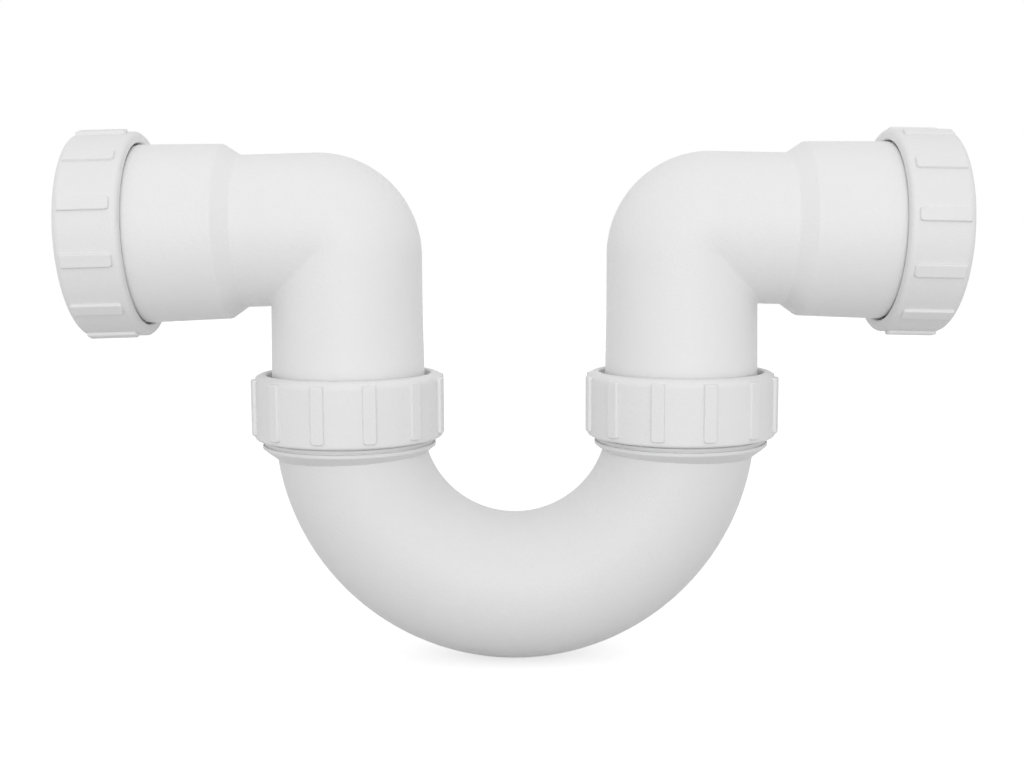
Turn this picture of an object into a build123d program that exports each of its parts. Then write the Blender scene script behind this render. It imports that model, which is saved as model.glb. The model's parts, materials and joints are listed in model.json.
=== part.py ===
from build123d import *
import os
from math import radians, tan

# A U trap for a waste pipe. Water stands in the U-bend and seals the drain. A knuckle elbow
# swivels in each neck of the U-bend, and each of the four joints is closed by a nut that presses
# a slip ring on a rubber seal. Lengths are millimetres. X runs along the arms from the inlet to
# the outlet, Z is up, and the origin is on the ground under the middle of the U-bend.

# Waterway
PIPE_DIAMETER = 43.0  # outside of the waste pipe that each arm takes
PIPE_CLEARANCE = 0.3  # on the radius, between the pipe and the bore it lands in
STOP_LEDGE = 0.8  # the step that the pipe's end meets
TUBE_WALL = 3.0

# U-bend
BEND_RADIUS = 54.0  # to the tube's centreline
COLLAR_DROP = 5.9  # from the bend's centre level down to the top of the neck's collar
COLLAR_HEIGHT = 1.1
COLLAR_OUT = 0.8  # how far the collar stands out of the neck
COLLAR_CONE = 3.9  # the cone that leads from the collar back into the tube
COLLAR_SINK = 1.0  # how deep that cone ends inside the tube's wall
COLLAR_ROUNDING = 0.35
RUNOUT_HEIGHT = 0.9  # the ring where the thread runs out, just above the collar
RUNOUT_OUT = 0.4
RUNOUT_ROUNDING = 0.2
RUNOUT_GROOVE = 0.4
NUT_GAP = 0.6  # the neck that shows between the runout ring and a closed nut
NECK_WALL = 2.1

# Elbows
KNUCKLE_RADIUS = 8.5  # centreline of the turn, tighter than the tube itself
KNUCKLE_TURN = 91.4  # degrees, so that each arm falls a little outwards
ELBOW_WALL = 3.2
LEG_DRAFT = 0.7  # how much wider the leg is at its lower end than under the arm
ARM_HEIGHT = 63.0  # from the bend's centre level up to the arm, over the leg
LEG_CLEARANCE = 0.2  # on the radius, between the leg and the neck
LEG_END_GAP = 0.5  # between the leg's end and its stop
LEG_END_CHAMFER = 0.8
ARM_PLAIN = 23.8  # plain tube between the knuckle and the shoulder
SHOULDER_LENGTH = 5.2
SHOULDER_FOOT_ROUNDING = 1.2
SHOULDER_TOP_ROUNDING = 1.5
CORE_STEP = 2.8  # how much wider the socket is inside than the landing bore
SOCKET_LENGTH = 39.7  # from the shoulder to the mouth
SOCKET_DRAFT = 0.5
BARREL_ROUNDING = 2.0  # where the barrel rounds in under the nut
SOCKET_THREAD_WALL = 2.7
THREAD_ROOT_ROUNDING = 0.5

# Seals and slip rings
MOUTH_FLARE = 1.8  # how much each mouth opens for its seal
FLARE_ANGLE = 30.0  # degrees from the axis
SEAL_FLANGE = 2.3
LEG_SEAL_GAP = 0.1  # between a seal and the leg in it
PIPE_SEAL_GAP = 0.2  # between a seal and the pipe in it
SEAT_GAP = 0.05  # between a seal's nose and the flare
LEG_SEAL_NOSE = 2.3
PIPE_SEAL_NOSE = 5.0
RING_THICKNESS = 1.2
RING_HOLE_CLEARANCE = 0.3
RING_GAP = 0.1  # above and below the slip ring
RING_EDGE_GAP = 0.1  # between the slip ring and the crests of the nut's thread

# Nuts
THREAD_DEPTH = 1.2
THREAD_CLEARANCE = 0.3
LIP_THICKNESS = 2.6
LEG_NUT_HEIGHT = 20.8
LEG_NUT_WALL = 1.7
LEG_NUT_HOLE_GAP = 1.6
LEG_NUT_ROUNDING = 2.7
LEG_NUT_FOOT_ROUNDING = 0.9
PIPE_NUT_HEIGHT = 19.8
PIPE_NUT_WALL = 3.6
PIPE_NUT_HOLE_GAP = 1.1
PIPE_NUT_ROUNDING = 1.2
PIPE_NUT_FOOT_ROUNDING = 1.5
HOLE_ROUNDING = 0.7
NUT_MOUTH_CHAMFER = 0.4
RIB_COUNT = 12
RIB_WIDTH = 4.2
RIB_OUT = 1.0
RIB_CORNER = 1.0
LEG_RIB_MARGINS = (1.5, 1.3)  # from the nut's foot and from its lip
PIPE_RIB_MARGINS = (2.2, 0.6)
RIB_START = {"inlet_leg": 18.0, "outlet_leg": 9.3, "inlet_pipe": 16.5, "outlet_pipe": 21.5}

# Radii that follow from the sizes above
pipe_radius = PIPE_DIAMETER / 2
landing_radius = pipe_radius + PIPE_CLEARANCE
bore_radius = landing_radius - STOP_LEDGE
tube_radius = bore_radius + TUBE_WALL
elbow_radius = bore_radius + ELBOW_WALL
leg_radius = elbow_radius + LEG_DRAFT
neck_bore = leg_radius + LEG_CLEARANCE
neck_radius = neck_bore + NECK_WALL
socket_bore = landing_radius + CORE_STEP
socket_radius = socket_bore + ELBOW_WALL
socket_thread_radius = socket_bore + SOCKET_THREAD_WALL
flare_length = MOUTH_FLARE / tan(radians(FLARE_ANGLE))

# The stack at every joint, measured outwards from the mouth's face
ring_bottom = SEAL_FLANGE + RING_GAP
lip_bottom = ring_bottom + RING_THICKNESS + RING_GAP
nut_top = lip_bottom + LIP_THICKNESS

# Heights from the U-bend's centre level, which is the centre of its half ring
mouth_to_collar = LEG_NUT_HEIGHT - nut_top + NUT_GAP + RUNOUT_HEIGHT + RUNOUT_GROOVE
neck_mouth = mouth_to_collar - COLLAR_DROP
leg_end = LEG_END_GAP - COLLAR_DROP
knuckle_height = ARM_HEIGHT - KNUCKLE_RADIUS
arm_underside = ARM_HEIGHT - elbow_radius
pipe_stop = ARM_PLAIN - RING_THICKNESS
socket_start = ARM_PLAIN + SHOULDER_LENGTH
arm_mouth = socket_start + SOCKET_LENGTH
centre_level = BEND_RADIUS + tube_radius

# Places. Each frame has its Z along the axis of its joint, outwards from the mouth's face.
neck_place = Pos(BEND_RADIUS, 0, neck_mouth)
knuckle_place = Pos(BEND_RADIUS + KNUCKLE_RADIUS, 0, knuckle_height)
arm_place = knuckle_place * Rot(0, KNUCKLE_TURN, 0) * Pos(-KNUCKLE_RADIUS, 0, 0)
socket_place = arm_place * Pos(0, 0, arm_mouth)
OVERSHOOT = 1.0  # how far a cutting solid passes the face it opens


def turned(corners):
    """A solid turned about Z from corners given as radius, height and rounding."""
    points = [(radius, height) for radius, height, _ in corners]
    rounding = [value for _, _, value in corners]
    outline = FilletPolyline(*points, radius=rounding, close=True)
    return revolve(Plane.XZ * make_face(outline), Axis.Z)


def flared_mouth(bore):
    """What is cut from a mouth so that its seal can seat: Z = 0 is the mouth's face."""
    wide = bore + MOUTH_FLARE
    return turned(
        [
            (0, -flare_length, 0),
            (bore, -flare_length, 0),
            (wide, 0, 0),
            (wide, OVERSHOOT, 0),
            (0, OVERSHOOT, 0),
        ]
    )


def half_ring(radius):
    """The lower half of a ring with a round section."""
    section = Pos(BEND_RADIUS, 0) * Circle(radius)
    return revolve(section, Axis.Y, 180)


def neck():
    """The outside of one neck, solid: thread core, runout ring, collar and cone."""
    runout = neck_radius + RUNOUT_OUT
    collar = neck_radius + COLLAR_OUT
    runout_top = -mouth_to_collar + RUNOUT_GROOVE + RUNOUT_HEIGHT
    runout_bottom = -mouth_to_collar + RUNOUT_GROOVE
    collar_bottom = -mouth_to_collar - COLLAR_HEIGHT
    return turned(
        [
            (0, 0, 0),
            (neck_radius, 0, 0),
            (neck_radius, runout_top, 0),
            (runout, runout_top, RUNOUT_ROUNDING),
            (runout, runout_bottom, RUNOUT_ROUNDING),
            (neck_radius, runout_bottom, 0),
            (neck_radius, -mouth_to_collar, 0),
            (collar, -mouth_to_collar, COLLAR_ROUNDING),
            (collar, collar_bottom, COLLAR_ROUNDING),
            (tube_radius - COLLAR_SINK, collar_bottom - COLLAR_CONE, 0),
            (0, collar_bottom - COLLAR_CONE, 0),
        ]
    )


def u_bend():
    """The tube that holds the water, with a socketed and threaded neck at each end."""
    solid = half_ring(tube_radius)
    socket = Pos(0, 0, -mouth_to_collar) * Cylinder(
        neck_bore, mouth_to_collar + OVERSHOOT, align=(Align.CENTER, Align.CENTER, Align.MIN)
    )
    hollow = half_ring(bore_radius)
    for turn in (0, 180):
        place = Rot(0, 0, turn) * neck_place
        solid += place * neck()
        hollow += place * socket
        hollow += place * flared_mouth(neck_bore)
    return solid - hollow


def knuckle(radius):
    """The outer part of the turn: a disc swept about the turn's own axis, as far as that axis."""
    disc = Pos(-KNUCKLE_RADIUS, 0) * Circle(radius)
    outer_side = Pos(-2 * radius, 0) * Rectangle(4 * radius, 4 * radius)
    return knuckle_place * revolve(disc & outer_side, Axis.Y, KNUCKLE_TURN)


def elbow_outside():
    """A tapered leg, the turn, the arm, its shoulder and the threaded socket, all solid."""
    leg = turned(
        [
            (0, leg_end, 0),
            (leg_radius - LEG_END_CHAMFER, leg_end, 0),
            (leg_radius, leg_end + LEG_END_CHAMFER, 0),
            (elbow_radius, arm_underside, 0),
            (elbow_radius, knuckle_height, 0),
            (0, knuckle_height, 0),
        ]
    )
    thread_start = arm_mouth + nut_top - PIPE_NUT_HEIGHT
    barrel_end = socket_radius + SOCKET_DRAFT
    arm = turned(
        [
            (0, 0, 0),
            (elbow_radius, 0, 0),
            (elbow_radius, ARM_PLAIN, SHOULDER_FOOT_ROUNDING),
            (socket_radius, socket_start, SHOULDER_TOP_ROUNDING),
            (barrel_end, thread_start - (barrel_end - socket_thread_radius), BARREL_ROUNDING),
            (socket_thread_radius, thread_start + NUT_GAP, THREAD_ROOT_ROUNDING),
            (socket_thread_radius, arm_mouth, 0),
            (0, arm_mouth, 0),
        ]
    )
    return Pos(BEND_RADIUS, 0, 0) * leg + knuckle(elbow_radius) + arm_place * arm


def elbow_inside():
    """The elbow's waterway, the landing bore with its stop, the wide socket and its mouth."""
    leg = Pos(BEND_RADIUS, 0, leg_end - OVERSHOOT) * Cylinder(
        bore_radius,
        knuckle_height - leg_end + OVERSHOOT,
        align=(Align.CENTER, Align.CENTER, Align.MIN),
    )
    arm = turned(
        [
            (0, 0, 0),
            (bore_radius, 0, 0),
            (bore_radius, pipe_stop, 0),
            (landing_radius, pipe_stop, 0),
            (landing_radius, socket_start, 0),
            (socket_bore, socket_start + CORE_STEP, 0),
            (socket_bore, arm_mouth + OVERSHOOT, 0),
            (0, arm_mouth + OVERSHOOT, 0),
        ]
    )
    return leg + knuckle(bore_radius) + arm_place * arm + socket_place * flared_mouth(socket_bore)


def elbow():
    """One knuckle elbow. Both are the same moulding."""
    return elbow_outside() - elbow_inside()


def seal(hole, mouth_bore, flange, nose):
    """A rubber seal: a nose in the flared mouth and a flange on its face."""
    widest = mouth_bore + MOUTH_FLARE - SEAT_GAP
    narrowest = widest - nose * tan(radians(FLARE_ANGLE))
    return turned(
        [
            (hole, -nose, 0),
            (narrowest, -nose, 0),
            (widest, 0, 0),
            (flange, 0, 0),
            (flange, SEAL_FLANGE, 0),
            (hole, SEAL_FLANGE, 0),
        ]
    )


def slip_ring(hole, outside):
    """The thin ring that lets a nut turn without dragging the seal round."""
    return turned(
        [
            (hole, ring_bottom, 0),
            (outside, ring_bottom, 0),
            (outside, ring_bottom + RING_THICKNESS, 0),
            (hole, ring_bottom + RING_THICKNESS, 0),
        ]
    )


def rib(radius, sunk, foot, top):
    """One grip rib: a pad with rounded corners, on the nut's side in the X direction."""
    pad = RectangleRounded(RIB_WIDTH, top - foot, RIB_CORNER)
    place = Pos(radius - sunk, 0, (foot + top) / 2)
    return place * extrude(Plane.YZ * pad, sunk + RIB_OUT)


def nut(thread_core, wall, hole, height, rounding, foot_rounding, margins, start):
    """A nut with an inner bore at the root of its thread, a lip at the top and grip ribs."""
    bore = thread_core + THREAD_DEPTH + THREAD_CLEARANCE
    body = bore + wall
    foot = nut_top - height
    solid = turned(
        [
            (hole, lip_bottom, 0),
            (hole, nut_top, HOLE_ROUNDING),
            (body, nut_top, rounding),
            (body, foot, foot_rounding),
            (bore + NUT_MOUTH_CHAMFER, foot, 0),
            (bore, foot + NUT_MOUTH_CHAMFER, 0),
            (bore, lip_bottom, 0),
        ]
    )
    pad = rib(body, wall / 2, foot + margins[0], nut_top - margins[1])
    for index in range(RIB_COUNT):
        solid += Rot(0, 0, start + index * 360 / RIB_COUNT) * pad
    return solid


def ring_outside(thread_core):
    """A slip ring's outer radius, which passes the crests inside its nut."""
    return thread_core + THREAD_CLEARANCE - RING_EDGE_GAP


def leg_joint(side):
    """The nut, slip ring and seal that hold an elbow's leg in a neck."""
    return {
        f"{side}_swivel_nut": nut(
            neck_radius,
            LEG_NUT_WALL,
            leg_radius + LEG_NUT_HOLE_GAP,
            LEG_NUT_HEIGHT,
            LEG_NUT_ROUNDING,
            LEG_NUT_FOOT_ROUNDING,
            LEG_RIB_MARGINS,
            RIB_START[f"{side}_leg"],
        ),
        f"{side}_swivel_ring": slip_ring(
            leg_radius + RING_HOLE_CLEARANCE, ring_outside(neck_radius)
        ),
        f"{side}_swivel_seal": seal(
            leg_radius + LEG_SEAL_GAP, neck_bore, neck_radius, LEG_SEAL_NOSE
        ),
    }


def pipe_joint(side):
    """The nut, slip ring and seal that hold a waste pipe in an arm's socket."""
    return {
        f"{side}_pipe_nut": nut(
            socket_thread_radius,
            PIPE_NUT_WALL,
            pipe_radius + PIPE_NUT_HOLE_GAP,
            PIPE_NUT_HEIGHT,
            PIPE_NUT_ROUNDING,
            PIPE_NUT_FOOT_ROUNDING,
            PIPE_RIB_MARGINS,
            RIB_START[f"{side}_pipe"],
        ),
        f"{side}_pipe_ring": slip_ring(
            pipe_radius + RING_HOLE_CLEARANCE, ring_outside(socket_thread_radius)
        ),
        f"{side}_pipe_seal": seal(
            pipe_radius + PIPE_SEAL_GAP, socket_bore, socket_thread_radius, PIPE_SEAL_NOSE
        ),
    }


def trap():
    """Every piece by name, in place around the U-bend's centre."""
    pieces = {"u_bend": u_bend()}
    for side, turn in (("outlet", 0), ("inlet", 180)):
        half = Rot(0, 0, turn)
        pieces[f"{side}_elbow"] = half * elbow()
        for name, piece in leg_joint(side).items():
            pieces[name] = half * neck_place * piece
        for name, piece in pipe_joint(side).items():
            pieces[name] = half * socket_place * piece
    return pieces


os.makedirs("parts", exist_ok=True)
for name, piece in trap().items():
    export_step(Pos(0, 0, centre_level) * piece, f"parts/{name}.step")
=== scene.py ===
import json
from math import acos, asin, atan2, cos, pi, radians, sin, tan

import bmesh
import bpy
from mathutils import Matrix, Quaternion, Vector


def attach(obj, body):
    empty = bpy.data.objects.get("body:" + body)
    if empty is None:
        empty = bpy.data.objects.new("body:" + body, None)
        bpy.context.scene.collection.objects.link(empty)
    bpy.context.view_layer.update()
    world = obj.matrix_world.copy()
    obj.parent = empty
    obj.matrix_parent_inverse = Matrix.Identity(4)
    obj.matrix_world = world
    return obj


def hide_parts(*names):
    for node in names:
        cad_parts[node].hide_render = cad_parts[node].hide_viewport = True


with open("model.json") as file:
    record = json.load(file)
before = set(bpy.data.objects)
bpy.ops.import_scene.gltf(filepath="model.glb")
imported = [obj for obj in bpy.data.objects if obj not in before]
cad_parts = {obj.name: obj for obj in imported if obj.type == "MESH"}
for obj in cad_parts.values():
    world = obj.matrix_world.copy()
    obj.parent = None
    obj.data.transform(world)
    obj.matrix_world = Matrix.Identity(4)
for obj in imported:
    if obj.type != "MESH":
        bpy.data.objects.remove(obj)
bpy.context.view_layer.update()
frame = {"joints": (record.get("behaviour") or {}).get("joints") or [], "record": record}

bl_info = {
    "name": "U Trap",
    "version": (1, 0, 0),
    "blender": (4, 5, 0),
    "location": "View3D > Sidebar > U Trap",
    "description": "Builds the mouldings, finishes and studio of a white plastic U trap",
    "category": "Add Mesh",
}

# Everything is in metres in the trap's own frame: X runs along the arms from the inlet to the
# outlet, and Z is up. A joint's frame has its Z along the joint's axis, outwards from the face
# of its mouth.
MM = 0.001
HALF_TURN = {"inlet": pi, "outlet": 0.0}
KINDS = ("swivel", "pipe")
RECORD = frame["record"]
SLOT_OF = {part["node"]: part["material_slot"] for part in RECORD["subparts"]}
BODY_OF = {node: body for body, nodes in RECORD["behaviour"]["bodies"].items() for node in nodes}

# Where things are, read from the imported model's joints
joints = {joint["name"]: joint for joint in frame["joints"]}
swivel = Vector(joints["outlet_swivel"]["pos_m"])
neck_mouth = Vector(joints["outlet_swivel_nut_turn"]["pos_m"])
arm_mouth = Vector(joints["outlet_pipe_nut_turn"]["pos_m"])
arm_axis = Vector(joints["outlet_pipe_nut_turn"]["axis"])
nut_travel = joints["outlet_pipe_ring_slide"]["range_m"][1]
nut_turns = joints["outlet_pipe_nut_turn"]["range_deg"][1] / 360
pitch = nut_travel / nut_turns
landing_radius = RECORD["mounts"][0]["dims"]["r_mm"] * MM
bend_radius = swivel.x
centre_level = swivel.z
tube_radius = centre_level - bend_radius
knuckle_turn = pi / 2 + asin(-arm_axis.z)

# How finely the meshes are divided
ROUND_STEPS = 5
TUBE_STEPS = 128
OUTER_STEPS = 80
INNER_STEPS = TUBE_STEPS - OUTER_STEPS
BEND_STEPS = 120
TURN_STEPS = 40
GAP_STEPS = 5
RIB_STEPS = 4
CORNER_STEPS = 4
EDGE_STEPS = 3
THREAD_STEPS = 72

# Points nearer than WELD are one, and edges that fold by less than SHARP_ANGLE are shaded smooth.
# Loops are sorted by bearing from just before zero, and bearings nearer than SAME_BEARING match.
WELD = 0.002 * MM
SHARP_ANGLE = radians(33)
LOOP_START = radians(0.5)
SAME_BEARING = radians(0.1)

# Shares of a thread's height, by which its foot is sunk in the wall and which it keeps at its
# ends, and the share of a turn over which it runs out
THREAD_SUNK = 0.2
THREAD_END = 0.02
RUN_OUT_TURN = 1 / 8

# Shares of the crease's rounding: where it is divided, how far out it is smoothed, and how far
# from the turn's axis it ends
CREASE_CUTS = (0.3, 0.65, 1.0)
CREASE_SMOOTHED = 0.9
CREASE_END = 2
SMOOTH_ROUNDS = 6

# How squarely a face looks outwards, as a cosine, when it is a rib's top
RIB_TOP_COSINE = 0.99

# A Mix node's colour sockets share their names with its other sockets, so they have numbers.
MIX_FACTOR = 0
MIX_DARK = 6
MIX_LIGHT = 7
MIX_RESULT = 2


def size(name, description, millimetres):
    """A length that a user can change. Its default is written in millimetres."""
    return bpy.props.FloatProperty(
        name=name, description=description, default=millimetres * MM, unit="LENGTH", precision=5
    )


def angle(name, description, degrees):
    """An angle that a user can change."""
    return bpy.props.FloatProperty(
        name=name, description=description, default=radians(degrees), subtype="ANGLE"
    )


def factor(name, description, value):
    """A plain number that a user can change."""
    return bpy.props.FloatProperty(name=name, description=description, default=value, min=0.0)


def linear(hex_colour):
    """An sRGB hex colour as linear red, green and blue."""
    channels = [int(hex_colour[start : start + 2], 16) / 255 for start in (1, 3, 5)]
    return [c / 12.92 if c <= 0.04045 else ((c + 0.055) / 1.055) ** 2.4 for c in channels]


def colour(name, description, hex_colour):
    """A colour that a user can change."""
    return bpy.props.FloatVectorProperty(
        name=name, description=description, default=linear(hex_colour), subtype="COLOR",
        min=0.0, max=1.0,
    )


class BendSizes(bpy.types.PropertyGroup):
    wall: size("Wall", "Wall of the bent tube", 3.0)
    neck_bore: size("Neck bore", "Radius of the socket that a leg stands in", 25.1)
    neck_core: size("Neck core", "Radius of a neck at the root of its thread", 27.2)
    collar_out: size("Collar", "How far the collar stands out of the neck", 0.8)
    collar_height: size("Collar height", "Height of the collar", 1.1)
    collar_drop: size("Collar drop", "From the bend's centre level down to the collar's top", 5.9)
    collar_rounding: size("Collar rounding", "Rounding of the collar's two edges", 0.35)
    cone_in: size("Cone in", "How far inside the collar's edge its cone starts", 1.05)
    cone_down: size("Cone down", "How far under the collar its cone starts", 0.84)
    cone_outside: size("Cone, outside", "Depth of the cone's end on the bend's outer side", 10.8)
    cone_inside: size("Cone, inside", "Depth of the cone's end on the bend's inner side", 9.0)
    runout_out: size("Run-out ring", "How far the ring at the thread's end stands out", 0.4)
    runout_height: size("Run-out height", "Height of the ring at the thread's end", 0.9)
    runout_groove: size("Run-out groove", "Gap between that ring and the collar", 0.4)
    runout_rounding: size("Run-out rounding", "Rounding of that ring's two edges", 0.18)


class ElbowSizes(bpy.types.PropertyGroup):
    radius: size("Radius", "Outside radius of the leg and of the arm", 24.2)
    bore: size("Bore", "Radius of the waterway", 21.0)
    knuckle: size("Knuckle", "Radius of the turn's centreline", 8.5)
    leg_draft: size("Leg draft", "How much wider the leg is at its lower end", 0.7)
    leg_gap: size("Leg gap", "Gap between the leg's end and the ledge under it", 0.5)
    leg_chamfer: size("Leg chamfer", "Chamfer at the leg's end", 0.8)
    crease: size("Crease", "Rounding of the inside corner", 1.4)
    past_crease: size("Past the crease", "Straight tube kept beyond the inside corner", 0.4)
    plain: size("Plain arm", "Plain tube between the turn and the shoulder", 23.8)
    stop: size("Pipe stop", "Where a pipe's end stops, from the start of the arm", 22.6)
    shoulder: size("Shoulder", "Length of the conical shoulder", 5.2)
    shoulder_foot: size("Shoulder foot", "Rounding at the shoulder's narrow end", 1.2)
    shoulder_top: size("Shoulder top", "Rounding at the shoulder's wide end", 1.5)
    core_step: size("Core step", "How much wider the socket is inside than the pipe's bore", 2.8)
    wall: size("Wall", "Wall of the socket", 3.2)
    thread_wall: size("Thread wall", "Wall of the socket at the root of its thread", 2.7)
    socket_draft: size("Socket draft", "How much wider the socket is at its nut", 0.5)
    under_nut: size("Under the nut", "How far the barrel reaches under its nut", 0.6)
    barrel_rounding: size("Barrel rounding", "Rounding where the barrel ends under the nut", 2.0)


class StackSizes(bpy.types.PropertyGroup):
    flare: size("Mouth flare", "How much a mouth opens for its seal", 1.8)
    flare_angle: angle("Flare angle", "Slope of that opening from the axis", 30)
    seal: size("Seal flange", "Thickness of a seal's flange", 2.3)
    swivel_nose: size("Swivel seal's nose", "How deep a swivel seal reaches into its mouth", 2.3)
    pipe_nose: size("Pipe seal's nose", "How deep a pipe seal reaches into its mouth", 5.0)
    seal_gap: size("Seal gap", "Gap between a seal's nose and its seat", 0.05)
    seal_rounding: size("Seal rounding", "Rounding of a seal's edges", 0.3)
    seal_slack: size("Seal slack", "Gap between a swivel seal and its leg", 0.1)
    seal_inset: size("Seal inset", "How much narrower a pipe seal's hole is than its socket", 0.1)
    ring: size("Slip ring", "Thickness of a slip ring", 1.2)
    ring_gap: size("Ring gap", "Gap on either side of a slip ring, and at its edge", 0.1)
    ring_rounding: size("Ring rounding", "Rounding of a slip ring's edges", 0.25)
    ring_slack: size("Ring slack", "Gap between a swivel nut's slip ring and its leg", 0.3)
    lip: size("Lip", "Thickness of a nut's lip", 2.6)
    thread_depth: size("Thread depth", "Height of a thread over its root", 1.2)
    thread_gap: size("Thread gap", "Gap between a thread's crest and the root it faces", 0.3)
    thread_foot: size("Thread foot", "Half the width of a thread at its foot", 1.05)
    thread_crest: size("Thread crest", "Half the width of a thread at its crest", 0.45)
    thread_lead: size("Thread lead", "Plain length beyond each end of a thread", 1.5)


class SwivelNutSizes(bpy.types.PropertyGroup):
    height: size("Height", "Height of a swivel nut", 20.8)
    wall: size("Wall", "Wall of a swivel nut at the root of its thread", 1.7)
    hole: size("Hole", "Radius of the hole that the leg passes", 26.5)
    rounding: size("Top rounding", "Rounding round the nut's top", 2.7)
    foot_rounding: size("Foot rounding", "Rounding round the nut's foot", 0.9)
    rib_foot: size("Rib foot", "From the nut's foot to its ribs", 1.5)
    rib_top: size("Rib top", "From the ribs to the nut's top", 1.3)
    inlet_start: angle("Inlet start", "Turn of the inlet nut's first rib", 18.0)
    outlet_start: angle("Outlet start", "Turn of the outlet nut's first rib", 9.3)


class PipeNutSizes(bpy.types.PropertyGroup):
    height: size("Height", "Height of a pipe nut", 19.8)
    wall: size("Wall", "Wall of a pipe nut at the root of its thread", 3.6)
    hole: size("Hole", "Radius of the hole that the pipe passes", 22.6)
    rounding: size("Top rounding", "Rounding round the nut's top", 2.6)
    foot_rounding: size("Foot rounding", "Rounding round the nut's foot", 1.5)
    rib_foot: size("Rib foot", "From the nut's foot to its ribs", 2.2)
    rib_top: size("Rib top", "From the ribs to the nut's top", 2.2)
    inlet_start: angle("Inlet start", "Turn of the inlet nut's first rib", 16.5)
    outlet_start: angle("Outlet start", "Turn of the outlet nut's first rib", 21.5)


class RibSizes(bpy.types.PropertyGroup):
    count: bpy.props.IntProperty(
        name="Ribs", description="Grip ribs round a nut", default=12, min=3
    )
    width: size("Width", "Width of a rib", 4.2)
    out: size("Out", "How far a rib stands out", 1.0)
    corner: size("Corner", "Rounding of a rib's corners, seen from outside", 1.0)
    edge: size("Edge", "Rounding along a rib's outer edges", 0.5)
    hole_rounding: size("Hole rounding", "Rounding of the nut's hole at its top", 0.7)
    mouth_chamfer: size("Mouth chamfer", "Chamfer where the nut's thread begins", 0.4)


class Finishes(bpy.types.PropertyGroup):
    bend: colour("Bend", "White polypropylene of the U-bend", "#E8E8E8")
    elbow: colour("Elbows", "White polypropylene of the elbows", "#EEEEEE")
    nut: colour("Nuts", "White polypropylene of the nuts", "#EBEBEB")
    ring: colour("Slip rings", "Natural polyethylene of the slip rings", "#DEDEDA")
    seal: colour("Seals", "Black rubber of the seals", "#1C1C1D")
    grain: size("Grain", "Width of the moulded grain", 0.8)
    grain_depth: size("Grain depth", "Depth of the moulded grain", 0.12)
    cloud: size("Cloud", "Width of the faint clouds in the plastic", 25.0)


class Studio(bpy.types.PropertyGroup):
    key_power: factor("Key power", "Power of the large lamp in front, in watts", 3.7)
    key_size: size("Key size", "Width of the large lamp in front", 900.0)
    key_x: size("Key X", "The lamp's place along the arms", 0.0)
    key_y: size("Key Y", "The lamp's place in front of the trap", -1000.0)
    key_z: size("Key Z", "The lamp's height over the floor", 200.0)
    ambient: factor("Ambient", "Strength of the even light all round", 0.785)
    floor: size("Floor", "Width of the floor", 4000.0)
    floor_colour: colour("Floor colour", "Pale grey of the floor, as light falls on it", "#C8C8C8")
    floor_glow: factor("Floor glow", "How white the floor looks with no light on it", 0.66)
    camera_x: size("Camera X", "The camera's place along the arms", -4.35)
    camera_y: size("Camera Y", "The camera's place in front of the trap", -414.84)
    camera_z: size("Camera Z", "The camera's height over the bend's centre level", 59.65)
    target_x: size("Target X", "Where the camera looks, along the arms", -0.98)
    target_z: size("Target Z", "Where the camera looks, over the bend's centre level", 12.61)
    field: angle("Field of view", "Angle across the width of the picture", 43.55)
    roll: angle("Roll", "Turn of the camera about its line of sight", -0.288)


# Shaping

def outline(bm, corners, closed):
    """A line in the XZ plane through corners given as radius, height and rounding."""
    verts = [bm.verts.new((radius, 0.0, height)) for radius, height, _ in corners]
    ends = verts[1:] + verts[:1] if closed else verts[1:]
    for pair in zip(verts, ends):
        bm.edges.new(pair)
    for vert, (_, _, rounding) in zip(verts, corners):
        if rounding > 0:
            ways = [edge.other_vert(vert).co - vert.co for edge in vert.link_edges]
            reach = rounding * tan((pi - ways[0].angle(ways[1])) / 2)
            bmesh.ops.bevel(
                bm, geom=[vert], offset=reach, affect="VERTICES", segments=ROUND_STEPS, profile=0.5,
                material=-1,
            )


def spin(bm, geom, turn, steps, axis=(0, 0, 1), centre=(0, 0, 0), rise=0.0, merge=False):
    """Spins geometry about an axis, and gives what the spin ends with."""
    made = bmesh.ops.spin(
        bm, geom=geom, cent=centre, axis=axis, dvec=(0, 0, rise / steps), angle=turn, steps=steps,
        use_merge=merge, use_duplicate=False,
    )
    return made["geom_last"]


def everything(bm):
    return [*bm.verts, *bm.edges, *bm.faces]


def turned(corners, closed=True):
    """A piece turned about Z."""
    bm = bmesh.new()
    outline(bm, corners, closed)
    spin(bm, everything(bm), 2 * pi, TUBE_STEPS, merge=True)
    weld(bm)
    return bm


def weld(bm):
    bmesh.ops.remove_doubles(bm, verts=bm.verts, dist=WELD)


def move(bm, matrix):
    bmesh.ops.transform(bm, matrix=matrix, verts=bm.verts)
    return bm


def join(bm, *others):
    """Adds other bmeshes to the first one."""
    for other in others:
        mesh = bpy.data.meshes.new("part")
        other.to_mesh(mesh)
        other.free()
        bm.from_mesh(mesh)
        bpy.data.meshes.remove(mesh)
    return bm


def cut(bm, point, normal, geom=None, clear=True):
    """Cuts geometry by a plane, and clears the side that the normal points to."""
    bmesh.ops.bisect_plane(
        bm, geom=geom or everything(bm), dist=WELD, plane_co=point, plane_no=normal,
        clear_outer=clear,
    )


def open_loop(start):
    """The open loop that a vertex is on."""
    loop = {start}
    ends = [start]
    while ends:
        vert = ends.pop()
        for edge in vert.link_edges:
            other = edge.other_vert(vert)
            if edge.is_boundary and other not in loop:
                loop.add(other)
                ends.append(other)
    return loop


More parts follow.
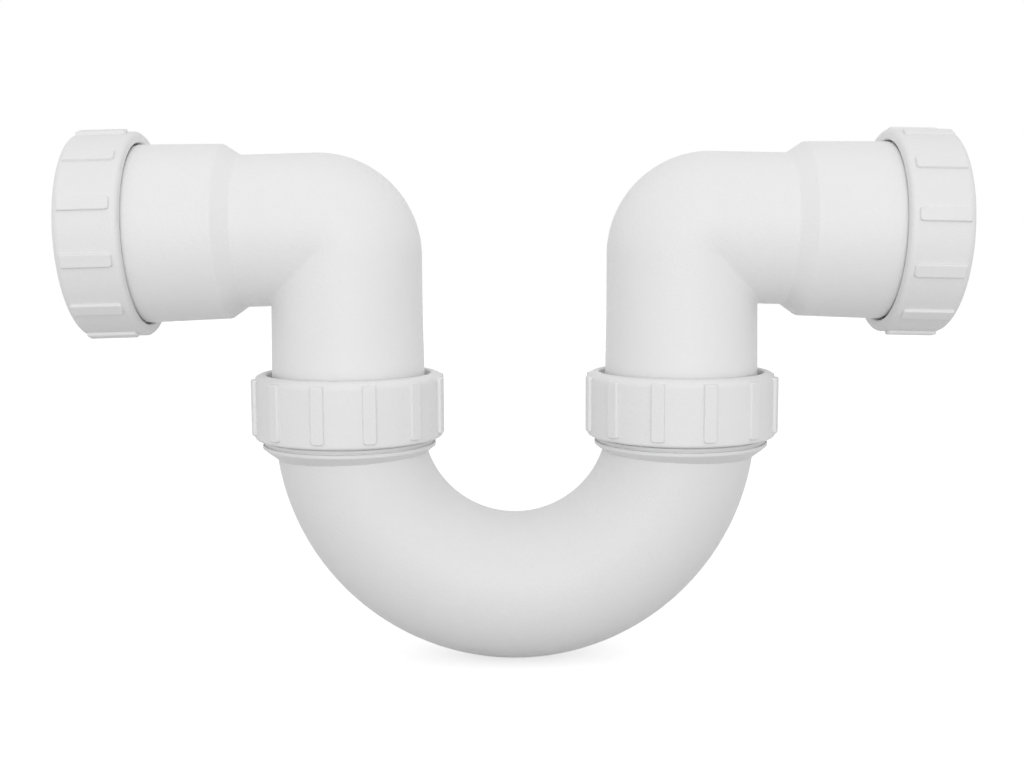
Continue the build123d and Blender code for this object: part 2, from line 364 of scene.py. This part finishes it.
def band(bm, place, chosen):
    """Closes the gap between two open loops round the Z axis of a place, which may be divided
    differently. The test picks their corners by where they are in that place."""
    inverse = place.inverted()
    rim = {vert: inverse @ vert.co for edge in bm.edges if edge.is_boundary for vert in edge.verts}
    near = [vert for vert, point in rim.items() if chosen(point)]
    bearing = {vert: (atan2(rim[vert].y, rim[vert].x) + LOOP_START) % (2 * pi) for vert in near}
    inner = open_loop(min(near, key=lambda vert: rim[vert].xy.length))
    inside = sorted(inner, key=bearing.get)
    outside = sorted((vert for vert in near if vert not in inner), key=bearing.get)
    if not outside:
        raise ValueError("a band needs two open loops")

    def bearing_of(loop, index):
        return bearing[loop[index % len(loop)]] + index // len(loop) * 2 * pi

    first = second = 0
    while first < len(inside) or second < len(outside):
        lead = bearing_of(inside, first + 1) - bearing_of(outside, second + 1)
        corners = [inside[first % len(inside)], outside[second % len(outside)]]
        if lead > -SAME_BEARING:
            second += 1
            corners.append(outside[second % len(outside)])
        if lead < SAME_BEARING:
            first += 1
            corners.append(inside[first % len(inside)])
        bm.faces.new(corners)


def thread(stack, root, outwards, low, high):
    """A right-handed thread about Z that runs out at both ends."""
    depth = stack.thread_depth if outwards else -stack.thread_depth
    sunk = root - depth * THREAD_SUNK
    section = (
        (sunk, -stack.thread_foot),
        (root + depth, -stack.thread_crest),
        (root + depth, stack.thread_crest),
        (sunk, stack.thread_foot),
    )
    bm = bmesh.new()
    bm.faces.new([bm.verts.new((radius, 0, low + height)) for radius, height in section])
    count = int((high - low) / pitch * THREAD_STEPS)
    turn = 2 * pi * count / THREAD_STEPS
    last = spin(bm, everything(bm), turn, count, rise=pitch * count / THREAD_STEPS)
    run_out = pitch * RUN_OUT_TURN
    for vert in bm.verts:
        radius = vert.co.xy.length
        if abs(radius - sunk) < WELD:
            continue
        lead = min(vert.co.z - low + stack.thread_crest, high - vert.co.z + stack.thread_crest)
        keep = min(max(lead / run_out, THREAD_END), 1.0)
        wanted = sunk + (radius - sunk) * keep
        vert.co.xy *= wanted / radius
    return bm


def moulding(bm, node, finishes):
    """Makes a bmesh the piece that stands for a node and rides on the node's body."""
    weld(bm)
    bmesh.ops.recalc_face_normals(bm, faces=bm.faces)
    for face in bm.faces:
        face.smooth = True
    for edge in bm.edges:
        edge.smooth = edge.calc_face_angle(0.0) < SHARP_ANGLE
    name = f"{node}_moulding"
    mesh = bpy.data.meshes.new(name)
    bm.to_mesh(mesh)
    bm.free()
    mesh.materials.append(finish_of(SLOT_OF[node], finishes))
    piece = bpy.data.objects.new(name, mesh)
    bpy.context.scene.collection.objects.link(piece)
    normals = piece.modifiers.new("Weighted normals", "WEIGHTED_NORMAL")
    normals.keep_sharp = True
    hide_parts(node)
    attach(piece, BODY_OF[node])
    return piece


# Places

def side_place(side):
    return Matrix.Rotation(HALF_TURN[side], 4, "Z")


def joint_place(side, kind):
    """The frame of a joint, on the face of its mouth."""
    if kind == "swivel":
        return side_place(side) @ Matrix.Translation(neck_mouth)
    return side_place(side) @ Matrix.Translation(arm_mouth) @ Matrix.Rotation(knuckle_turn, 4, "Y")


def ledge_height(bend):
    """Height of the ledge in a neck, level with its collar's top, over the neck's mouth."""
    return centre_level - bend.collar_drop - neck_mouth.z


def leg_radius(settings):
    """Outside radius of a leg's lower end."""
    return settings.trap_elbow.radius + settings.trap_elbow.leg_draft


def ring_low(stack):
    """Height of a slip ring's underside over the mouth."""
    return stack.seal + stack.ring_gap


def lip_low(stack):
    """Height of the underside of a nut's lip over the mouth."""
    return ring_low(stack) + stack.ring + stack.ring_gap


def nut_high(stack):
    """Height of a nut's top over the mouth."""
    return lip_low(stack) + stack.lip


def core_radius(settings, kind):
    """Radius of the neck or socket at the root of its thread."""
    if kind == "swivel":
        return settings.trap_bend.neck_core
    return landing_radius + settings.trap_elbow.core_step + settings.trap_elbow.thread_wall


def bore_radius(settings, kind):
    """Radius of the neck or socket inside."""
    if kind == "swivel":
        return settings.trap_bend.neck_bore
    return landing_radius + settings.trap_elbow.core_step


def thread_low(settings, kind):
    """Height at which the thread on a neck or socket begins, from the mouth."""
    lead = settings.trap_stack.thread_lead
    if kind == "swivel":
        bend = settings.trap_bend
        ring_top = centre_level - bend.collar_drop + bend.runout_groove + bend.runout_height
        return ring_top + lead - neck_mouth.z
    nut = settings.trap_pipe_nut
    return nut_high(settings.trap_stack) - nut.height + lead


# U-bend

def half_ring(radius):
    """The lower half of a ring of tube about the bend's centre, open at both ends."""
    bm = bmesh.new()
    bmesh.ops.create_circle(
        bm, segments=TUBE_STEPS, radius=radius, matrix=Matrix.Translation((bend_radius, 0, 0))
    )
    spin(bm, everything(bm), pi, BEND_STEPS, axis=(0, 1, 0))
    return bm


def neck(bend, stack):
    """The skin of a neck in its joint's frame, from its ledge over its mouth to its collar."""
    flare_depth = stack.flare / tan(stack.flare_angle)
    core = bend.neck_core
    ring = core + bend.runout_out
    collar = core + bend.collar_out
    collar_top = ledge_height(bend)
    collar_low = collar_top - bend.collar_height
    ring_foot = collar_top + bend.runout_groove
    ring_top = ring_foot + bend.runout_height
    return turned(
        [
            (bend.neck_bore, collar_top, 0),
            (bend.neck_bore, -flare_depth, 0),
            (bend.neck_bore + stack.flare, 0, 0),
            (core, 0, 0),
            (core, ring_top, 0),
            (ring, ring_top, bend.runout_rounding),
            (ring, ring_foot, bend.runout_rounding),
            (core, ring_foot, 0),
            (core, collar_top, 0),
            (collar, collar_top, bend.collar_rounding),
            (collar, collar_low, bend.collar_rounding),
            (collar - bend.cone_in, collar_low - bend.cone_down, 0),
        ],
        closed=False,
    )


def build_bend(settings):
    """One tube with a socketed and threaded neck at each end, as a single closed skin."""
    bend = settings.trap_bend
    stack = settings.trap_stack
    outer = half_ring(tube_radius)
    inner = half_ring(tube_radius - bend.wall)
    cut(inner, (0, 0, -bend.collar_drop), (0, 0, 1))
    for way in (1, -1):
        outside = Vector((way * (bend_radius + tube_radius), 0, -bend.cone_outside))
        inside = Vector((way * (bend_radius - tube_radius), 0, -bend.cone_inside))
        normal = (outside - inside).cross(Vector((0, way, 0)))
        cut(outer, outside, normal)
    bm = join(outer, inner)
    move(bm, Matrix.Translation((0, 0, centre_level)))
    for side in HALF_TURN:
        place = joint_place(side, "swivel")
        join(bm, move(neck(bend, stack), place))
    weld(bm)
    ledge = ledge_height(bend)

    def on_ledge(point):
        return abs(point.z - ledge) < WELD and point.xy.length < bend.neck_core

    def round_neck(point):
        return point.xy.length < bend_radius

    for side in HALF_TURN:
        place = joint_place(side, "swivel")
        band(bm, place, on_ledge)
        band(bm, place, round_neck)
    low = thread_low(settings, "swivel")
    for side in HALF_TURN:
        ridge = thread(stack, bend.neck_core, True, low, -stack.thread_lead)
        join(bm, move(ridge, joint_place(side, "swivel")))
    moulding(bm, "u_bend", settings.trap_finishes)


# Elbows

def elbow_layout(elbow):
    """The arm's length, and the height of the turn's own axis, from where the arm's mouth is."""
    reach = arm_mouth.x - bend_radius - elbow.knuckle * (1 - cos(knuckle_turn))
    arm_length = reach / sin(knuckle_turn)
    height = arm_mouth.z - elbow.knuckle * sin(knuckle_turn) - arm_length * cos(knuckle_turn)
    return arm_length, height


def skin(radius, leg, arm, knuckle):
    """One skin of the elbow, open at both ends. The leg's axis is Z, the turn's axis crosses X
    at the knuckle's radius, and the corners of the leg and the arm start at the turn."""
    pole = acos(knuckle / radius)
    outer_sweep = 2 * (pi - pole)
    turn_axis = Vector((knuckle, 0, 0))
    lean = Matrix.Rotation(knuckle_turn, 4, "Y")
    to_arm = Matrix.Translation(turn_axis) @ lean @ Matrix.Translation(-turn_axis)
    arm_way = lean @ Vector((0, 0, 1))
    mitre = (arm_way + Vector((0, 0, 1))).normalized()
    sweeps = ((pole, outer_sweep, OUTER_STEPS), (-pole, 2 * pole, INNER_STEPS))

    def tube(corners):
        bm = bmesh.new()
        for start, sweep, steps in sweeps:
            part = bmesh.new()
            outline(part, corners, closed=False)
            move(part, Matrix.Rotation(start, 4, "Z"))
            spin(part, everything(part), sweep, steps)
            join(bm, part)
        weld(bm)
        return bm

    leg_tube = tube(leg)
    cut(leg_tube, turn_axis, mitre)
    arm_tube = move(tube(arm), to_arm)
    cut(arm_tube, turn_axis, -mitre)
    bm = bmesh.new()
    start = bm.verts.new((knuckle, radius * sin(pole), 0))
    spin(bm, [start], outer_sweep, OUTER_STEPS)
    spin(bm, everything(bm), knuckle_turn, TURN_STEPS, axis=(0, 1, 0), centre=turn_axis)
    join(bm, leg_tube, arm_tube)
    weld(bm)
    return bm, turn_axis, mitre


def soften_crease(bm, turn_axis, mitre, rounding):
    """Rounds the inside corner, where the leg and the arm meet on the mitre plane."""
    inwards = Vector((1, 0, -1))

    def off_mitre(point):
        return (point - turn_axis).dot(mitre)

    def past_axis(point):
        return (point - turn_axis).dot(inwards)

    for share in CREASE_CUTS:
        for way in (1, -1):
            half = [
                face for face in bm.faces
                if way * off_mitre(face.calc_center_median()) > 0
                and past_axis(face.calc_center_median()) > 0
            ]
            geom = dict.fromkeys(
                part for face in half for part in (face, *face.edges, *face.verts)
            )
            cut(bm, turn_axis + mitre * way * rounding * share, mitre, list(geom), clear=False)
    near = [
        vert for vert in bm.verts
        if abs(off_mitre(vert.co)) < rounding * CREASE_SMOOTHED
        and past_axis(vert.co) > rounding * CREASE_END
    ]
    for _ in range(SMOOTH_ROUNDS):
        bmesh.ops.smooth_vert(
            bm, verts=near, factor=0.5, use_axis_x=True, use_axis_y=True, use_axis_z=True
        )


def build_elbow(settings, side):
    """A leg, a tight turn, an arm, its shoulder and its threaded socket, as one closed skin."""
    elbow = settings.trap_elbow
    stack = settings.trap_stack
    arm_length, knuckle_height = elbow_layout(elbow)
    leg_end = centre_level - settings.trap_bend.collar_drop + elbow.leg_gap - knuckle_height
    leg_foot = leg_radius(settings)
    socket_start = elbow.plain + elbow.shoulder
    socket_bore = bore_radius(settings, "pipe")
    socket = socket_bore + elbow.wall
    core = core_radius(settings, "pipe")
    barrel = socket + elbow.socket_draft
    nut_foot = arm_length + nut_high(stack) - settings.trap_pipe_nut.height
    barrel_end = nut_foot + elbow.under_nut
    flare_depth = stack.flare / tan(stack.flare_angle)
    straight = elbow.radius - elbow.knuckle + elbow.past_crease

    outer, turn_axis, mitre = skin(
        elbow.radius,
        [
            (elbow.radius, 0, 0),
            (elbow.radius, -straight, 0),
            (leg_foot, leg_end + elbow.leg_chamfer, 0),
            (leg_foot - elbow.leg_chamfer, leg_end, 0),
        ],
        [
            (elbow.radius, 0, 0),
            (elbow.radius, straight, 0),
            (elbow.radius, elbow.plain, elbow.shoulder_foot),
            (socket, socket_start, elbow.shoulder_top),
            (barrel, barrel_end, elbow.barrel_rounding),
            (core, barrel_end + barrel - core, 0),
            (core, arm_length, 0),
        ],
        elbow.knuckle,
    )
    soften_crease(outer, turn_axis, mitre, elbow.crease)
    inner, _, _ = skin(
        elbow.bore,
        [(elbow.bore, 0, 0), (elbow.bore, -straight, 0), (elbow.bore, leg_end, 0)],
        [
            (elbow.bore, 0, 0),
            (elbow.bore, elbow.stop, 0),
            (landing_radius, elbow.stop, 0),
            (landing_radius, socket_start, 0),
            (socket_bore, socket_start + elbow.core_step, 0),
            (socket_bore, arm_length - flare_depth, 0),
            (socket_bore + stack.flare, arm_length, 0),
        ],
        elbow.knuckle,
    )
    bm = join(outer, inner)
    to_arm = Matrix.Translation((elbow.knuckle, 0, 0)) @ Matrix.Rotation(knuckle_turn, 4, "Y")
    mouth = to_arm @ Matrix.Translation((-elbow.knuckle, 0, arm_length))
    band(bm, Matrix(), lambda point: point.z < leg_end + WELD)
    band(bm, mouth, lambda point: abs(point.z) < WELD)
    move(bm, side_place(side) @ Matrix.Translation((bend_radius, 0, knuckle_height)))
    ridge = thread(stack, core, True, thread_low(settings, "pipe"), -stack.thread_lead)
    join(bm, move(ridge, joint_place(side, "pipe")))
    moulding(bm, f"{side}_elbow", settings.trap_finishes)


# Nuts, slip rings and seals

def bevel(bm, edges, offset, segments):
    """Rounds edges, as far as their faces have room for it."""
    bmesh.ops.bevel(
        bm, geom=edges, offset=offset, affect="EDGES", segments=segments, profile=0.5, material=-1,
        clamp_overlap=True,
    )


def border(bm, inside):
    """The edges between the faces that pass a test and those that don't."""
    return [
        edge for edge in bm.edges
        if len(edge.link_faces) == 2 and inside(edge.link_faces[0]) != inside(edge.link_faces[1])
    ]


def ribbed_sector(corners, ribs, body, rib_low, rib_high):
    """The part of a nut that carries one grip rib, in the X direction."""
    half_sector = pi / ribs.count
    half_rib = asin(ribs.width / 2 / body)
    gap = half_sector - half_rib
    bm = bmesh.new()
    outline(bm, corners, closed=True)
    move(bm, Matrix.Rotation(-half_sector, 4, "Z"))
    last = everything(bm)
    for sweep, steps in ((gap, GAP_STEPS), (2 * half_rib, RIB_STEPS), (gap, GAP_STEPS)):
        last = spin(bm, last, sweep, steps)
    weld(bm)
    for height in (rib_low, rib_high):
        cut(bm, (0, 0, height), (0, 0, 1), clear=False)
    bmesh.ops.recalc_face_normals(bm, faces=bm.faces)

    def under_rib(face):
        centre = face.calc_center_median()
        return (
            abs(centre.y) < ribs.width / 2
            and rib_low < centre.z < rib_high
            and centre.x > body - ribs.out
        )

    def on_top(face):
        raised_far = face.calc_center_median().x > body + ribs.out - WELD
        return raised_far and face.normal.x > RIB_TOP_COSINE

    def at_corner(vert):
        beside = abs(abs(vert.co.y) - ribs.width / 2) < WELD
        return beside and min(abs(vert.co.z - rib_low), abs(vert.co.z - rib_high)) < WELD

    patch = [face for face in bm.faces if under_rib(face)]
    raised = bmesh.ops.extrude_face_region(bm, geom=patch)["geom"]
    bmesh.ops.delete(bm, geom=patch, context="FACES")
    lifted = {part for part in raised if isinstance(part, bmesh.types.BMVert)}
    for vert in lifted:
        vert.co.x = body + ribs.out
    bm.normal_update()
    bmesh.ops.dissolve_faces(bm, faces=[face for face in bm.faces if on_top(face)])
    upright = [
        edge for edge in bm.edges
        if len(lifted.intersection(edge.verts)) == 1 and all(map(at_corner, edge.verts))
    ]
    bevel(bm, upright, ribs.corner, CORNER_STEPS)
    bm.normal_update()
    bevel(bm, border(bm, on_top), ribs.edge, EDGE_STEPS)
    return bm


def build_nut(settings, side, kind):
    """A ribbed nut with a lip at its top and its thread inside."""
    stack = settings.trap_stack
    ribs = settings.trap_ribs
    nut = settings.trap_swivel_nut if kind == "swivel" else settings.trap_pipe_nut
    start = nut.inlet_start if side == "inlet" else nut.outlet_start
    bore = core_radius(settings, kind) + stack.thread_depth + stack.thread_gap
    body = bore + nut.wall
    top = nut_high(stack)
    foot = top - nut.height
    rib_low = foot + nut.rib_foot
    rib_high = top - nut.rib_top
    corners = [
        (nut.hole, lip_low(stack), 0),
        (nut.hole, top, ribs.hole_rounding),
        (body, top, nut.rounding),
        (body, foot, nut.foot_rounding),
        (bore + ribs.mouth_chamfer, foot, 0),
        (bore, foot + ribs.mouth_chamfer, 0),
        (bore, lip_low(stack), 0),
    ]
    bm = bmesh.new()
    for index in range(ribs.count):
        sector = ribbed_sector(corners, ribs, body, rib_low, rib_high)
        join(bm, move(sector, Matrix.Rotation(start + index * 2 * pi / ribs.count, 4, "Z")))
    weld(bm)
    low = thread_low(settings, kind) + pitch / 2
    join(bm, thread(stack, bore, False, low, lip_low(stack) - stack.thread_lead))
    move(bm, joint_place(side, kind))
    moulding(bm, f"{side}_{kind}_nut", settings.trap_finishes)


def build_ring(settings, side, kind):
    """A flat slip ring that lets the nut turn without dragging the seal."""
    stack = settings.trap_stack
    inside = leg_radius(settings) + stack.ring_slack if kind == "swivel" else landing_radius
    outside = core_radius(settings, kind) + stack.thread_gap - stack.ring_gap
    low = ring_low(stack)
    rounding = stack.ring_rounding
    bm = turned(
        [
            (inside, low, rounding),
            (outside, low, rounding),
            (outside, low + stack.ring, rounding),
            (inside, low + stack.ring, rounding),
        ]
    )
    move(bm, joint_place(side, kind))
    moulding(bm, f"{side}_{kind}_ring", settings.trap_finishes)


def build_seal(settings, side, kind):
    """A rubber seal with its nose in the flared mouth and its flange on the mouth's face."""
    stack = settings.trap_stack
    if kind == "swivel":
        hole = leg_radius(settings) + stack.seal_slack
        nose = stack.swivel_nose
    else:
        hole = landing_radius - stack.seal_inset
        nose = stack.pipe_nose
    widest = bore_radius(settings, kind) + stack.flare - stack.seal_gap
    narrowest = widest - nose * tan(stack.flare_angle)
    flange = core_radius(settings, kind)
    rounding = stack.seal_rounding
    bm = turned(
        [
            (hole, -nose, 0),
            (narrowest, -nose, rounding),
            (widest, 0, 0),
            (flange, 0, 0),
            (flange, stack.seal, rounding),
            (hole, stack.seal, rounding),
        ]
    )
    move(bm, joint_place(side, kind))
    moulding(bm, f"{side}_{kind}_seal", settings.trap_finishes)


# Finishes

def add_node(tree, kind, settings=(), links=()):
    """Adds a node, sets its properties and sockets, and links its inputs to other outputs."""
    node = tree.nodes.new(kind)
    for key, value in dict(settings).items():
        if isinstance(key, int) or key in node.inputs:
            node.inputs[key].default_value = value
        else:
            setattr(node, key, value)
    for key, output in dict(links).items():
        tree.links.new(output, node.inputs[key])
    return node


def noise(tree, place, width, detail):
    """Noise whose features are about as wide as given, in the piece's own coordinates."""
    return add_node(
        tree,
        "ShaderNodeTexNoise",
        {"Scale": 1 / width, "Detail": detail},
        {"Vector": place.outputs["Object"]},
    )


def tinted(tree, noisy, dark, light):
    """A colour that wanders between two with the noise."""
    mix = add_node(
        tree,
        "ShaderNodeMix",
        {"data_type": "RGBA", MIX_DARK: (*dark, 1), MIX_LIGHT: (*light, 1)},
        {MIX_FACTOR: noisy.outputs["Fac"]},
    )
    return mix.outputs[MIX_RESULT]


def shade(base, share):
    """A colour made darker or lighter by a factor."""
    return [channel * share for channel in base]


def spread(tree, noisy, low, high):
    """A value that wanders between two with the noise."""
    node = add_node(
        tree, "ShaderNodeMapRange", {"To Min": low, "To Max": high}, {"Value": noisy.outputs["Fac"]}
    )
    return node.outputs["Result"]


def bumped(tree, noisy, depth):
    node = add_node(tree, "ShaderNodeBump", {"Distance": depth}, {"Height": noisy.outputs["Fac"]})
    return node.outputs["Normal"]


def polypropylene(tree, base, finishes):
    """Injection-moulded polypropylene: satin white, faintly cloudy, with the mould's fine grain
    on it and light that spreads a little under its surface."""
    place = add_node(tree, "ShaderNodeTexCoord")
    cloud = noise(tree, place, finishes.cloud, detail=3)
    # The real grain is too fine to show in the picture, so this one is wider and deeper.
    grain = noise(tree, place, finishes.grain, detail=2)
    return add_node(
        tree,
        "ShaderNodeBsdfPrincipled",
        {
            "IOR": 1.49,
            "Subsurface Weight": 0.1,
            "Subsurface Radius": (1, 1, 1),
            "Subsurface Scale": 1.2 * MM,
        },
        {
            "Base Color": tinted(tree, cloud, shade(base, 0.975), shade(base, 1.015)),
            "Roughness": spread(tree, cloud, 0.44, 0.54),
            "Normal": bumped(tree, grain, finishes.grain_depth),
        },
    )


def polyethylene(tree, base, finishes):
    """Moulded natural polyethylene: milky and waxy, duller than the nuts."""
    place = add_node(tree, "ShaderNodeTexCoord")
    haze_width = 6 * MM
    haze = noise(tree, place, haze_width, detail=2)
    return add_node(
        tree,
        "ShaderNodeBsdfPrincipled",
        {
            "IOR": 1.51,
            "Subsurface Weight": 0.3,
            "Subsurface Radius": (1, 1, 1),
            "Subsurface Scale": 1.0 * MM,
        },
        {
            "Base Color": tinted(tree, haze, shade(base, 0.96), base),
            "Roughness": spread(tree, haze, 0.5, 0.62),
        },
    )


def rubber(tree, base, finishes):
    """Moulded EPDM rubber: near black and dull, with a dusty bloom in patches."""
    place = add_node(tree, "ShaderNodeTexCoord")
    bloom_width = 4 * MM
    bloom_depth = 0.04 * MM
    bloom = noise(tree, place, bloom_width, detail=4)
    return add_node(
        tree,
        "ShaderNodeBsdfPrincipled",
        {"IOR": 1.52},
        {
            "Base Color": tinted(tree, bloom, base, shade(base, 2.2)),
            "Roughness": spread(tree, bloom, 0.62, 0.8),
            "Normal": bumped(tree, bloom, bloom_depth),
        },
    )


FINISH_OF_SLOT = {
    "bend_polypropylene": ("Moulded polypropylene, bend", polypropylene, "bend"),
    "elbow_polypropylene": ("Moulded polypropylene, elbow", polypropylene, "elbow"),
    "nut_polypropylene": ("Moulded polypropylene, nut", polypropylene, "nut"),
    "ring_polyethylene": ("Moulded polyethylene", polyethylene, "ring"),
    "seal_rubber": ("Moulded EPDM rubber", rubber, "seal"),
}


def empty_material(name):
    material = bpy.data.materials.new(name)
    material.use_nodes = True
    material.node_tree.nodes.clear()
    return material


def finish_of(slot, finishes):
    """The material for a slot of the record, made when it is first asked for."""
    name, make, setting = FINISH_OF_SLOT[slot]
    if name not in bpy.data.materials:
        tree = empty_material(name).node_tree
        shader = make(tree, list(getattr(finishes, setting)), finishes)
        add_node(tree, "ShaderNodeOutputMaterial", (), {"Surface": shader.outputs["BSDF"]})
    return bpy.data.materials[name]


# Studio

def seen(tree):
    """1 for what the camera sees straight, mirrored or through glass, and 0 for the rest."""
    path = add_node(tree, "ShaderNodeLightPath")
    total = path.outputs["Is Camera Ray"]
    for name in ("Is Glossy Ray", "Is Transmission Ray"):
        node = add_node(tree, "ShaderNodeMath", {"operation": "MAXIMUM"})
        tree.links.new(total, node.inputs[0])
        tree.links.new(path.outputs[name], node.inputs[1])
        total = node.outputs[0]
    return total


def light_world(studio):
    """Even light all round, and a white background."""
    world = bpy.data.worlds.new("Studio")
    bpy.context.scene.world = world
    world.use_nodes = True
    tree = world.node_tree
    tree.nodes.clear()
    strength = add_node(
        tree, "ShaderNodeMapRange", {"To Min": studio.ambient, "To Max": 1.0}, {"Value": seen(tree)}
    )
    background = add_node(
        tree,
        "ShaderNodeBackground",
        {"Color": (1, 1, 1, 1)},
        {"Strength": strength.outputs["Result"]},
    )
    add_node(tree, "ShaderNodeOutputWorld", (), {"Surface": background.outputs["Background"]})


def lay_floor(studio):
    """A pale floor under the trap. The camera sees it nearly white, with the trap's shadow."""
    material = empty_material("Studio floor")
    tree = material.node_tree
    paint = add_node(tree, "ShaderNodeBsdfDiffuse", {"Color": (*studio.floor_colour, 1)})
    glow = add_node(
        tree, "ShaderNodeEmission", {"Color": (1, 1, 1, 1), "Strength": studio.floor_glow}
    )
    glowing = add_node(tree, "ShaderNodeAddShader")
    tree.links.new(paint.outputs[0], glowing.inputs[0])
    tree.links.new(glow.outputs[0], glowing.inputs[1])
    mix = add_node(tree, "ShaderNodeMixShader", (), {"Fac": seen(tree)})
    tree.links.new(paint.outputs[0], mix.inputs[1])
    tree.links.new(glowing.outputs[0], mix.inputs[2])
    add_node(tree, "ShaderNodeOutputMaterial", (), {"Surface": mix.outputs[0]})
    bm = bmesh.new()
    bmesh.ops.create_grid(bm, x_segments=1, y_segments=1, size=studio.floor / 2)
    mesh = bpy.data.meshes.new("studio_floor")
    bm.to_mesh(mesh)
    bm.free()
    mesh.materials.append(material)
    floor = bpy.data.objects.new("studio_floor", mesh)
    bpy.context.scene.collection.objects.link(floor)


def aim(thing, place, target, roll=0.0):
    thing.location = place
    facing = (Vector(target) - Vector(place)).to_track_quat("-Z", "Y")
    thing.rotation_mode = "QUATERNION"
    thing.rotation_quaternion = facing @ Quaternion((0, 0, 1), roll)


def hang_key(studio):
    """One large soft lamp, in front of the trap and a little higher than its top."""
    lamp = bpy.data.lights.new("Key", "AREA")
    lamp.shape = "DISK"
    lamp.size = studio.key_size
    lamp.energy = studio.key_power
    key = bpy.data.objects.new("Key", lamp)
    bpy.context.scene.collection.objects.link(key)
    aim(key, (studio.key_x, studio.key_y, studio.key_z), (0, 0, centre_level))


def set_camera(studio):
    """The camera at the photograph's place and angle."""
    data = bpy.data.cameras.new("Camera")
    data.sensor_width = 36
    data.lens = data.sensor_width / 2 / tan(studio.field / 2)
    camera = bpy.data.objects.new("Camera", data)
    bpy.context.scene.collection.objects.link(camera)
    aim(
        camera,
        (studio.camera_x, studio.camera_y, centre_level + studio.camera_z),
        (studio.target_x, 0, centre_level + studio.target_z),
        studio.roll,
    )
    data.clip_start = 0.01
    data.clip_end = 20
    bpy.context.scene.camera = camera


class BuildBend(bpy.types.Operator):
    """Build the U-bend with its two threaded necks"""

    bl_idname = "u_trap.build_bend"
    bl_label = "Build U-bend"

    def execute(self, context):
        build_bend(context.scene)
        return {"FINISHED"}


class BuildElbows(bpy.types.Operator):
    """Build the two knuckle elbows"""

    bl_idname = "u_trap.build_elbows"
    bl_label = "Build elbows"

    def execute(self, context):
        for side in HALF_TURN:
            build_elbow(context.scene, side)
        return {"FINISHED"}


class BuildNuts(bpy.types.Operator):
    """Build the two swivel nuts and the two pipe nuts"""

    bl_idname = "u_trap.build_nuts"
    bl_label = "Build nuts"

    def execute(self, context):
        for side in HALF_TURN:
            for kind in KINDS:
                build_nut(context.scene, side, kind)
        return {"FINISHED"}


class BuildRings(bpy.types.Operator):
    """Build the slip ring under each nut"""

    bl_idname = "u_trap.build_rings"
    bl_label = "Build slip rings"

    def execute(self, context):
        for side in HALF_TURN:
            for kind in KINDS:
                build_ring(context.scene, side, kind)
        return {"FINISHED"}


class BuildSeals(bpy.types.Operator):
    """Build the rubber seal in each mouth"""

    bl_idname = "u_trap.build_seals"
    bl_label = "Build seals"

    def execute(self, context):
        for side in HALF_TURN:
            for kind in KINDS:
                build_seal(context.scene, side, kind)
        return {"FINISHED"}


class SetStudio(bpy.types.Operator):
    """Set the floor, the light and the camera"""

    bl_idname = "u_trap.set_studio"
    bl_label = "Set studio"

    def execute(self, context):
        studio = context.scene.trap_studio
        light_world(studio)
        lay_floor(studio)
        hang_key(studio)
        set_camera(studio)
        context.scene.view_settings.view_transform = "Standard"
        return {"FINISHED"}


OPERATORS = (BuildBend, BuildElbows, BuildNuts, BuildRings, BuildSeals, SetStudio)
GROUPS = {
    "trap_bend": BendSizes,
    "trap_elbow": ElbowSizes,
    "trap_stack": StackSizes,
    "trap_swivel_nut": SwivelNutSizes,
    "trap_pipe_nut": PipeNutSizes,
    "trap_ribs": RibSizes,
    "trap_finishes": Finishes,
    "trap_studio": Studio,
}


class TrapPanel(bpy.types.Panel):
    bl_idname = "VIEW3D_PT_u_trap"
    bl_label = "U Trap"
    bl_space_type = "VIEW_3D"
    bl_region_type = "UI"
    bl_category = "U Trap"

    def draw(self, context):
        for operator in OPERATORS:
            self.layout.operator(operator.bl_idname)
        for name, group in GROUPS.items():
            box = self.layout.box()
            for setting in group.__annotations__:
                box.prop(getattr(context.scene, name), setting)


def register():
    for group in GROUPS.values():
        bpy.utils.register_class(group)
    for name, group in GROUPS.items():
        setattr(bpy.types.Scene, name, bpy.props.PointerProperty(type=group))
    for shown in (*OPERATORS, TrapPanel):
        bpy.utils.register_class(shown)


def unregister():
    for shown in (TrapPanel, *reversed(OPERATORS)):
        bpy.utils.unregister_class(shown)
    for name in GROUPS:
        delattr(bpy.types.Scene, name)
    for group in reversed(list(GROUPS.values())):
        bpy.utils.unregister_class(group)


def main():
    register()
    bpy.ops.u_trap.build_bend()
    bpy.ops.u_trap.build_elbows()
    bpy.ops.u_trap.build_nuts()
    bpy.ops.u_trap.build_rings()
    bpy.ops.u_trap.build_seals()
    bpy.ops.u_trap.set_studio()


if __name__ == "__main__":
    main()
